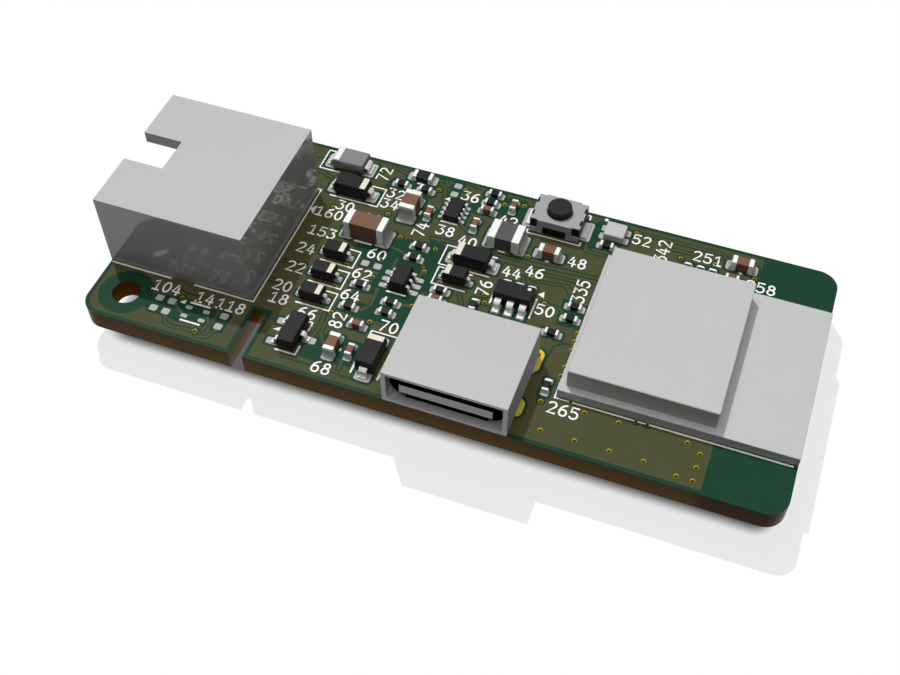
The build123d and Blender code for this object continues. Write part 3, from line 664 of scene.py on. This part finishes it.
def addSignalKeeps(work):
    for place in signalVias:
        addDisc(work, *place, viaKeep)


def layVias(plates):
    for name, layer, finish, radius, (shiftX, shiftY), segments, thickness in plates:
        work = bmesh.new()
        for x, y in signalVias + groundVias:
            addDisc(work, x + shiftX, y + shiftY, radius, segments)
        layPiece(work, name, layer, finish, thickness)


trackWidths = {"gap": 0.44, "line": 0.13, "track": 0.22}


def buildTracks():
    work = bmesh.new()
    for outline in clearings:
        addOutline(work, outline)
    keep = boardPlan["padKeep"]
    for low, high in padBoxes:
        place, size = ((low + high) / 2 - boardLow) / mm, (high - low) / mm
        addOutline(work, roundLoop(place.x, place.y, size.x + 2 * keep, size.y + 2 * keep,
                                   boardPlan["padKeepCorner"], 2))
    addSignalKeeps(work)
    layPiece(work, "clearings", "clearance", "mask")
    gaps = [(points, trackWidths["gap"]) for points in outlinedTracks]
    gaps += [(points, trackWidths["line"]) for points in darkLines]
    strokePiece("trackGaps", gaps, "clearance", "mask", thickness=0.005)
    tracks = [(points, trackWidths["track"]) for points in outlinedTracks + openTracks]
    strokePiece("tracks", tracks, "track", "maskedCopper", thickness=0.005)
    work = bmesh.new()
    addOutline(work, copperIsland)
    layPiece(work, "copperIslands", "track", "maskedCopper")
    layVias(upperVias)


tabRings = {"x": (24.08, 32.72), "rows": ((2.5, 1.6), (6.75, 2.1)), "width": 1.0, "slot": 0.45, "clear": 1.4,
            "short": 0.001, "clearShort": 0.01}


def addTabRings(loops, keep):
    # round each tab's slot a ring, which is two loops, and its clearing
    width, slot, clear, short = [tabRings[label] for label in ("width", "slot", "clear", "short")]
    clearCorner = clear / 2 - tabRings["clearShort"]
    for x in tabRings["x"]:
        for y, length in tabRings["rows"]:
            loops.append(roundLoop(x, y, width, length, width / 2 - short, 6))
            loops.append(roundLoop(x, y, slot, length - width + slot, slot / 2 - short, 6))
            addOutline(keep, roundLoop(x, y, clear, length - width + clear, clearCorner, 5))


def buildTabRings():
    loops, keep = [], bmesh.new()
    addTabRings(loops, keep)
    layPiece(keep, "tabClearings", "track", "mask")
    layPiece(curveFaces(loops), "tabRings", "ring", "ringGold", thickness=0.01)


undersideSettings = {
    "keep": 0.22, "ring": 0.14, "lap": 0.03, "pegs": ((6.05, 5.5), (6.05, 16.5)), "pegKeep": 0.9,
}


def buildUnderside():
    # the pour, the rings round pins and tabs and the vias again on the lower face
    settings = undersideSettings
    keep, rings = bmesh.new(), []
    for x, y in settings["pegs"]:
        addDisc(keep, x, y, settings["pegKeep"], 32)
    for low, high in islandBoxes("header_solder"):
        place, radius = ((low + high) / 2 - boardLow) / mm, (high.x - low.x) / 2 / mm
        ring = radius + settings["ring"]
        addDisc(keep, place.x, place.y, ring + settings["keep"], 32)
        rings += [circleLoop(place.x, place.y, size) for size in (ring, radius - settings["lap"])]
    addTabRings(rings, keep)
    buildPour("underPour", "underPour", 40)
    addSignalKeeps(keep)
    layPiece(keep, "underClearings", "underClearance", "mask", thickness=0.003)
    layPiece(curveFaces(rings), "underRings", "underRing", "ringGold", thickness=0.01)
    layVias(lowerVias)


tabEdges = {"in": 0.04, "out": 0.1, "rows": ((1.97, 2.98), (5.6, 7.12)), "rise": 0.05, "sink": 0.3,
            "corner": 0.02, "rim": 0.015}


def buildTabEdges():
    # the tabs' outer faces stand a little proud of the shell where they enter the board
    size = {label: value * mm for label, value in tabEdges.items() if label != "rows"}
    work = bmesh.new()
    for side, face in ((-1, shellLow.x), (1, shellHigh.x)):
        inner, outer = sorted((face - side * size["in"], face + side * size["out"]))
        for start, end in tabEdges["rows"]:
            low = Vector((inner, boardLow.y + start * mm, boardTop - size["sink"]))
            high = Vector((outer, boardLow.y + end * mm, boardTop + size["rise"]))
            addBlock(work, low, high, size["corner"], size["rim"])
    finishPiece(work, "tabEdges", "socketMetal")


padBoxes = islandBoxes("solder_pads")
padSettings = {"corner": 0.13, "large": 0.8, "largeCorner": 0.195, "mostCorner": 0.3, "rim": 0.018}


def buildPads():
    work = bmesh.new()
    for low, high in padBoxes:
        small = min(high.x - low.x, high.y - low.y)
        corner = padSettings["largeCorner" if small > padSettings["large"] * mm else "corner"] * mm
        addBlock(work, low, high, min(corner, small * padSettings["mostCorner"]), padSettings["rim"] * mm)
    finishPiece(work, "tinnedPads", "solder", replaced=("solder_pads",))


filletSettings = {
    "parts": {"resistor": 0.5, "small_capacitor": 0.55, "near_capacitor": 0.7, "output_capacitor": 0.7,
              "module_capacitor": 0.7, "filter_capacitor": 0.8, "input_capacitor": 0.85, "inductor": 0.85},
    "lap": 0.01, "steps": 6, "inset": 0.06, "narrow": 0.96, "flare": 0.7,
}


def padUnder(place):
    return next(((low, high) for low, high in padBoxes
                 if low.x < place.x < high.x and low.y < place.y < high.y), None)


def addFillet(work, low, high, pad, share):
    # solder drawn up the end of a terminal, hollow outwards and spread to its pad's width
    place, padPlace = (low + high) / 2, (pad[0] + pad[1]) / 2
    way = padPlace - place
    axis = 0 if abs(way.x) > abs(way.y) else 1
    other = 1 - axis
    sign = 1 if way[axis] > 0 else -1
    face, edge = (high[axis], pad[1][axis]) if sign > 0 else (low[axis], pad[0][axis])
    lap, inset = filletSettings["lap"] * mm, filletSettings["inset"] * mm
    reach = abs(edge - face) - inset
    if reach <= 0:
        return
    floor = pad[1].z - lap
    rise = (high.z - pad[1].z) * share
    narrow = (high[other] - low[other]) / 2 * filletSettings["narrow"]
    wide = (pad[1][other] - pad[0][other]) / 2 - inset
    profile = [(-lap * 2, floor, narrow), (-lap * 2, floor + rise, narrow)]
    for step in range(filletSettings["steps"] + 1):
        angle = pi / 2 * step / filletSettings["steps"]
        out, down = 1 - cos(angle), 1 - sin(angle)
        half = narrow + (wide - narrow) * out ** filletSettings["flare"]
        profile.append((reach * out, floor + rise * down, half))
    rows = []
    for end in (-1, 1):
        row = []
        for distance, height, half in profile:
            spot = [0, 0, height]
            spot[axis] = face + sign * distance
            spot[other] = place[other] + end * half
            row.append(work.verts.new(spot))
        rows.append(row)
    work.faces.new(rows[0])
    work.faces.new(list(reversed(rows[1])))
    for index in range(len(profile)):
        after = (index + 1) % len(profile)
        work.faces.new((rows[0][index], rows[0][after], rows[1][after], rows[1][index]))


def buildFillets():
    work = bmesh.new()
    for part, share in filletSettings["parts"].items():
        for low, high in islandBoxes(part + "_terminals"):
            pad = padUnder((low + high) / 2)
            if pad:
                addFillet(work, low, high, pad, share)
    finishPiece(work, "solderFillets", "solder")


# Silk print: outlines, marks and plain numbers

digitStrokes = {
    "0": [ovalStroke(0.3, 0.5, 0.25, 0.46, 16)],
    "1": [[(0.08, 0.78), (0.32, 0.96), (0.32, 0.04)], [(0.08, 0.04), (0.56, 0.04)]],
    "2": [[(0.05, 0.82), (0.15, 0.93), (0.32, 0.96), (0.48, 0.9), (0.55, 0.75), (0.5, 0.58), (0.05, 0.04),
           (0.57, 0.04)]],
    "3": [[(0.05, 0.96), (0.54, 0.96), (0.28, 0.6), (0.42, 0.58), (0.54, 0.46), (0.55, 0.28), (0.46, 0.1),
           (0.28, 0.04), (0.12, 0.06), (0.04, 0.16)]],
    "4": [[(0.42, 0.04), (0.42, 0.7)], [(0.3, 0.96), (0.04, 0.3), (0.58, 0.3)]],
    "5": [[(0.52, 0.96), (0.1, 0.96), (0.06, 0.54), (0.2, 0.62), (0.38, 0.61), (0.52, 0.5), (0.56, 0.32),
           (0.5, 0.14), (0.34, 0.04), (0.15, 0.06), (0.05, 0.16)]],
    "6": [[(0.47, 0.95), (0.3, 0.88), (0.14, 0.7), (0.06, 0.45), (0.07, 0.22), (0.18, 0.07), (0.32, 0.04),
           (0.47, 0.09), (0.55, 0.24), (0.53, 0.43), (0.42, 0.55), (0.28, 0.57), (0.14, 0.5), (0.08, 0.38)]],
    "7": [[(0.04, 0.96), (0.57, 0.96), (0.22, 0.04)]],
    "8": [ovalStroke(0.3, 0.75, 0.2, 0.2, 12), ovalStroke(0.3, 0.3, 0.25, 0.25, 12)],
}
digitStrokes["9"] = [[(0.6 - x, 1.0 - y) for x, y in digitStrokes["6"][0]]]
printSettings = {
    "stroke": 0.15, "advance": 0.78, "figure": 0.6, "line": 0.158,
    "pairs": (12, 2), "others": (104, 7),  # first number and step of those with two figures and of the rest
    "dots": ((33.79, 21.62, 0.15), (20.53, 11.88, 0.1)),
}
numberPlaces = [  # middle, count of figures and turn of each printed number
    (5.23, 3.95, 3, 0), (8.36, 3.95, 2, 0), (10.45, 3.91, 3, 0), (13.4, 5.8, 2, 0), (13.14, 7.02, 2, 0),
    (13.28, 9.02, 2, 0), (13.23, 11.03, 2, 0), (13.7, 13.0, 3, 0), (13.4, 15.0, 3, 0), (14.26, 16.13, 2, 0),
    (17.5, 18.7, 2, 0), (17.46, 17.5, 2, 0), (23.1, 20.4, 2, 0), (22.5, 16.3, 2, 0), (24.46, 15.8, 2, 0),
    (26.7, 18.9, 2, 0), (28.6, 13.98, 2, 0), (30.2, 14.6, 2, 0), (32.9, 16.56, 2, 0), (32.0, 11.3, 2, 0),
    (36.87, 20.43, 2, 0), (41.99, 20.33, 3, 0), (46.27, 18.8, 3, 0), (35.8, 3.3, 3, 0), (18.5, 12.25, 2, 0),
    (18.2, 10.05, 2, 0), (18.2, 7.85, 2, 0), (15.9, 5.2, 2, 0), (18.85, 1.02, 2, 0), (21.95, 6.02, 2, 0),
    (15.8, 20.45, 2, 90), (20.65, 15.77, 2, 90), (27.17, 11.85, 2, 90), (33.94, 13.95, 3, 90),
    (38.63, 19.9, 3, 90), (18.24, 5.36, 2, 90), (16.69, 15.54, 2, 0), (18.94, 19.95, 1, 0),
]


def turned(points, x, y, turn):
    c, s = cos(radians(turn)), sin(radians(turn))
    return [(x + c * px - s * py, y + s * px + c * py) for px, py in points]


def numberStrokes(text, x, y, turn):
    advance = printSettings["advance"]
    start = -(len(text) - 1) * advance / 2 - printSettings["figure"] / 2
    strokes = []
    for index, figure in enumerate(text):
        for points in digitStrokes[figure]:
            local = [(start + index * advance + px, py - 0.5) for px, py in points]
            strokes.append((turned(local, x, y, turn), printSettings["stroke"]))
    return strokes


def diodeOutline(x, y, turn, half, closedEnd, openEnd):
    return turned([(-openEnd, half), (closedEnd, half), (closedEnd, -half), (-openEnd, -half)], x, y, turn)


smallDiode, largeDiode = (0.85, 1.61, 1.05), (1.0, 2.36, 1.65)
partOutlines = [
    [(6.97, 4.85), (11.78, 4.85), (11.78, 17.15), (6.97, 17.15)],
    [(51.35, 4.14), (34.93, 4.14), (34.93, 17.66), (51.35, 17.66)],
    [(28.36, 18.7), (28.36, 18.3), (32.56, 18.3), (32.56, 18.7)],
    [(28.36, 21.1), (28.36, 21.6), (32.56, 21.6), (32.56, 21.1)],
    [(12.36, 19.45), (10.62, 19.45), (10.62, 21.55), (12.36, 21.55)],
    [(15.07, 1.44), (16.68, 1.44), (16.68, 2.3)], [(16.68, 3.66), (16.68, 4.52), (16.35, 4.52)],
]
levelLines = [  # from, to, and how far up the board
    (0.13, 5.14, 4.85), (0.13, 5.14, 17.15), (26.9, 27.52, 15.71), (26.8, 27.62, 17.93),
    (30.58, 30.86, 15.93), (44.43, 44.71, 19.68), (44.43, 44.71, 20.86), (16.27, 17.77, 13.02),
    (16.27, 17.77, 14.9), (21.77, 23.18, 17.18), (21.77, 23.18, 19.54), (20.47, 22.05, 9.14),
    (21.0, 22.05, 11.38), (7.5, 9.14, 3.25), (7.5, 9.14, 1.55),
]
uprightLines = [  # how far along the board, from, to
    (20.03, 17.2, 17.7), (18.35, 17.2, 17.7), (19.5, 2.8, 3.1), (31.14, 10.2, 12.2), (28.0, 10.6, 12.2),
]
smallDiodePlaces = [(15.68, 11.19, 0), (15.68, 8.98, 0), (15.68, 6.78, 0), (24.93, 11.86, 180)]
largeDiodePlaces = [(14.25, 17.88, 0), (25.54, 13.98, 180), (21.93, 2.95, 90)]
partOutlines += [[(start, y), (end, y)] for start, end, y in levelLines]
partOutlines += [[(x, start), (x, end)] for x, start, end in uprightLines]
partOutlines += [diodeOutline(*place, *smallDiode) for place in smallDiodePlaces]
partOutlines += [diodeOutline(*place, *largeDiode) for place in largeDiodePlaces]
pinMarks = [  # first-pin marks as outlines
    [(11.79, 14.98), (12.22, 15.46), (12.22, 14.5)], [(31.08, 12.62), (31.46, 13.01), (31.58, 12.39)],
    [(6.75, 3.0), (7.2, 2.98), (7.16, 3.38)], [(21.25, 19.5), (21.65, 19.85), (21.65, 19.45)],
    [(14.2, 3.05), (14.7, 3.4), (14.7, 3.0)],
]


def drawnIn(points):
    # the round ends of a stroke reach half its width past its points, so the points step back
    ends = []
    for place, towards in ((points[0], points[1]), (points[-1], points[-2])):
        step = (Vector(towards) - Vector(place)).normalized() * printSettings["line"] / 2
        ends.append(tuple(Vector(place) + step))
    return [ends[0]] + points[1:-1] + [ends[1]]


def buildPrint():
    strokes = [(drawnIn(points), printSettings["line"]) for points in partOutlines]
    for index, (x, y, count, turn) in enumerate(numberPlaces):
        first, step = printSettings["pairs" if count == 2 else "others"]
        strokes += numberStrokes(str(first + index * step)[:count], x, y, turn)
    strokePiece("silkPrint", strokes, "silk", "silk")
    work = bmesh.new()
    for outline in pinMarks:
        addOutline(work, outline)
    for dot in printSettings["dots"]:
        addDisc(work, *dot)
    layPiece(work, "pinMarks", "silk", "silk")


bandSettings = {
    "length": 0.387, "largeLength": 0.4515, "largeFrom": 2.2, "inset": 0.11, "lift": 0.006, "sink": 0.01,
}
whiteBanded = "power_diode_body"
banded = {  # diode to the way its band points
    "line_diode_1_body": (1, 0), "line_diode_2_body": (1, 0), "line_diode_3_body": (1, 0),
    "gate_diode_body": (-1, 0), "input_diode_body": (1, 0), "bus_diode_body": (-1, 0),
    "socket_diode_body": (0, 1), whiteBanded: (-1, 0),
}
guardDot = {"radius": 0.14, "depth": 0.016, "inset": (0.42, 0.36)}


def buildBands():
    cream, white, dot = bmesh.new(), bmesh.new(), bmesh.new()
    size = {label: value * mm for label, value in bandSettings.items()}
    for node, way in banded.items():
        low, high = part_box(node)
        axis = 0 if way[0] else 1
        length = size["largeLength" if high[axis] - low[axis] > size["largeFrom"] else "length"]
        start = high[axis] - size["inset"] if way[axis] > 0 else low[axis] + size["inset"]
        near, far = low.copy(), high.copy()
        near[axis], far[axis] = sorted((start, start - way[axis] * length))
        near[1 - axis] += size["inset"]
        far[1 - axis] -= size["inset"]
        near.z, far.z = high.z - size["sink"], high.z + size["lift"]
        addBlock(white if node == whiteBanded else cream, near, far)
    finishPiece(cream, "diodeBands", "band")
    finishPiece(white, "powerDiodeBand", "silk")
    low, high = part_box("socket_guard_body")
    insetX, insetY = guardDot["inset"]
    bmesh.ops.create_cone(dot, cap_ends=True, segments=20, radius1=guardDot["radius"] * mm,
                          radius2=guardDot["radius"] * mm, depth=guardDot["depth"] * mm,
                          matrix=Matrix.Translation((high.x - insetX * mm, high.y - insetY * mm, high.z)))
    finishPiece(dot, "guardDot", "silk")


buildPour("copperPour", "pour", 48)
buildTracks()
buildTabRings()
buildTabEdges()
buildUnderside()
buildPads()
buildFillets()
buildPrint()
buildBands()
print("board layers, pads, fillets and print built")


# Stage, light and camera

stageSettings = {
    "size": 0.6, "sink": 0.02, "matte": 0.02, "sunShadow": 0.19, "contactDepth": 0.85, "contactInset": 0.66,
    "contactBlur": 0.55, "bounce": 0.02, "underBounce": 1.0, "mirror": 0.9, "softShare": (0.6, 0.36),
    "softReach": (3.2, 5.1),
}
skyWhite = (1, 1, 1, 1)


def makeFloorMaterial():
    material = bpy.data.materials.new("paleFloor")
    material.use_nodes = True
    tree = material.node_tree
    tree.nodes.remove(tree.nodes["Principled BSDF"])
    # painted shadow: the floor is dark under the board, at once behind the near and right edges and slowly on
    # the lit sides
    centred = vectorNode(tree, "SUBTRACT", coordinate(tree), (boardLow + boardHigh) / 2)
    half = (boardHigh - boardLow) / 2
    inset = (stageSettings["contactInset"] + boardPlan["corner"]) * mm
    softX, softY = stageSettings["softShare"]
    reachX, reachY = [reach * mm for reach in stageSettings["softReach"]]
    beyond = []
    for shareX, shareY, startX, startY in ((1, softY, inset, reachY), (-softX, -1, reachX, inset)):
        start = (abs(shareX) * (startX - half.x), abs(shareY) * (startY - half.y), -1)
        beyond.append(vectorNode(tree, "MULTIPLY_ADD", centred, (shareX, shareY, 0), start))
    outer = vectorNode(tree, "MAXIMUM", vectorNode(tree, "MAXIMUM", *beyond), (0, 0, 0))
    distance = addNode(tree, "VectorMath", {0: outer}, operation="LENGTH").outputs["Value"]
    blur = [(boardPlan["corner"] + side * stageSettings["contactBlur"]) * mm for side in (-1, 1)]
    shades = (1 - stageSettings["contactDepth"], 1.0), (stageSettings["underBounce"], stageSettings["bounce"])
    shade, lift = [remap(tree, distance, *blur, under, beside, interpolation_type="SMOOTHSTEP")
                   for under, beside in shades]
    matte, shadow = stageSettings["matte"], stageSettings["sunShadow"]
    glow = addNode(tree, "Emission", {"Color": shade, "Strength": 1 - matte - shadow}).outputs[0]
    diffuse = addNode(tree, "BsdfDiffuse", {"Color": (matte, matte, matte, 1)}).outputs[0]
    seen = addNode(tree, "AddShader", {0: glow, 1: diffuse}).outputs[0]
    # painted light: for bounced rays the floor glows brightly under the board and little beside it; seen from
    # below it isn't there
    path = addNode(tree, "LightPath").outputs
    bounced = addNode(tree, "Emission", {"Strength": lift}).outputs[0]
    mirrored = addNode(tree, "Emission", {"Strength": stageSettings["mirror"]}).outputs[0]
    seen = mixShaders(tree, path["Is Diffuse Ray"], seen, bounced)
    seen = mixShaders(tree, path["Is Glossy Ray"], seen, mirrored)
    below = addNode(tree, "NewGeometry").outputs["Backfacing"]
    seen = mixShaders(tree, below, seen, addNode(tree, "BsdfTransparent").outputs[0])
    tree.links.new(seen, tree.nodes["Material Output"].inputs["Surface"])
    return material


def buildFloor():
    work = bmesh.new()
    bmesh.ops.create_grid(work, x_segments=1, y_segments=1, size=stageSettings["size"] / 2)
    floor = meshObject("floor", work, makeFloorMaterial())
    floor.location.z = -stageSettings["sink"] * mm
    return floor


lightSettings = {
    "travel": (0.38, -0.41, -1.0), "sunShare": 0.47, "skyShare": 0.53, "skyFalloff": 7.0, "sunAngle": 2.0,
    "floorTravel": (0.45, -0.62, -1.0), "floorAngle": 1.0,
}


def addSun(name, travel, share, angle):
    travel = Vector(travel).normalized()
    lamp = bpy.data.lights.new(name, "SUN")
    lamp.energy = pi * share / -travel.z
    lamp.angle = radians(angle)
    sun = newObject(name, lamp)
    sun.rotation_euler = travel.to_track_quat("-Z", "Y").to_euler()
    return sun


def buildSky():
    world = bpy.data.worlds.new("sky")
    world.use_nodes = True
    tree = world.node_tree
    sky = tree.nodes["Background"]
    # brightest overhead: strength grows steeply with the upward part of the direction
    falloff = lightSettings["skyFalloff"]
    upward = mathNode(tree, "MAXIMUM", splitAxes(tree, coordinate(tree, "Generated"))["Z"], 0.0)
    steep = mathNode(tree, "POWER", upward, falloff)
    strength = mathNode(tree, "MULTIPLY", steep, lightSettings["skyShare"] * (falloff + 2) / 2)
    fillInputs(tree, sky, {"Color": skyWhite, "Strength": strength})
    backdrop = addNode(tree, "Background", {"Color": skyWhite}).outputs[0]
    toCamera = addNode(tree, "LightPath").outputs["Is Camera Ray"]
    seen = mixShaders(tree, toCamera, sky.outputs[0], backdrop)
    tree.links.new(seen, tree.nodes["World Output"].inputs["Surface"])
    bpy.context.scene.world = world


def buildLight(floor):
    addSun("sun", lightSettings["travel"], lightSettings["sunShare"], lightSettings["sunAngle"])
    # a second sun lights the floor alone and gives it the photograph's wide faint shadow
    share = stageSettings["sunShadow"] / stageSettings["matte"]
    floorSun = addSun("floorSun", lightSettings["floorTravel"], share, lightSettings["floorAngle"])
    lit = bpy.data.collections.new("floorOnly")
    lit.objects.link(floor)
    floorSun.light_linking.receiver_collection = lit
    buildSky()


cameraSettings = {  # fitted to the photograph's straight edges; the focal length is in its pixels
    "place": (19.257, -55.150, 71.417), "right": (0.93932864, 0.34301514, -0.00152307),
    "down": (0.26751749, -0.73534708, -0.62265486), "focal": 1220.77, "width": 900, "sensor": 36.0,
    "near": 0.001, "far": 10.0,
}


def buildCamera():
    right = Vector(cameraSettings["right"]).normalized()
    up = -Vector(cameraSettings["down"]).normalized()
    back = right.cross(up)
    eye = bpy.data.cameras.new("camera")
    eye.sensor_width = cameraSettings["sensor"]
    eye.sensor_fit = "HORIZONTAL"
    eye.lens = cameraSettings["focal"] / cameraSettings["width"] * cameraSettings["sensor"]
    eye.clip_start = cameraSettings["near"]
    eye.clip_end = cameraSettings["far"]
    camera = newObject("camera", eye)
    turn = Matrix((right, up, back)).transposed().to_4x4()
    camera.matrix_world = Matrix.Translation(Vector(cameraSettings["place"]) * mm) @ turn
    bpy.context.scene.camera = camera


buildLight(buildFloor())
buildCamera()
view = bpy.context.scene.view_settings
view.view_transform = "Standard"
view.look = "None"
view.exposure = 0.0
view.gamma = 1.0
print("stage, light and camera set")
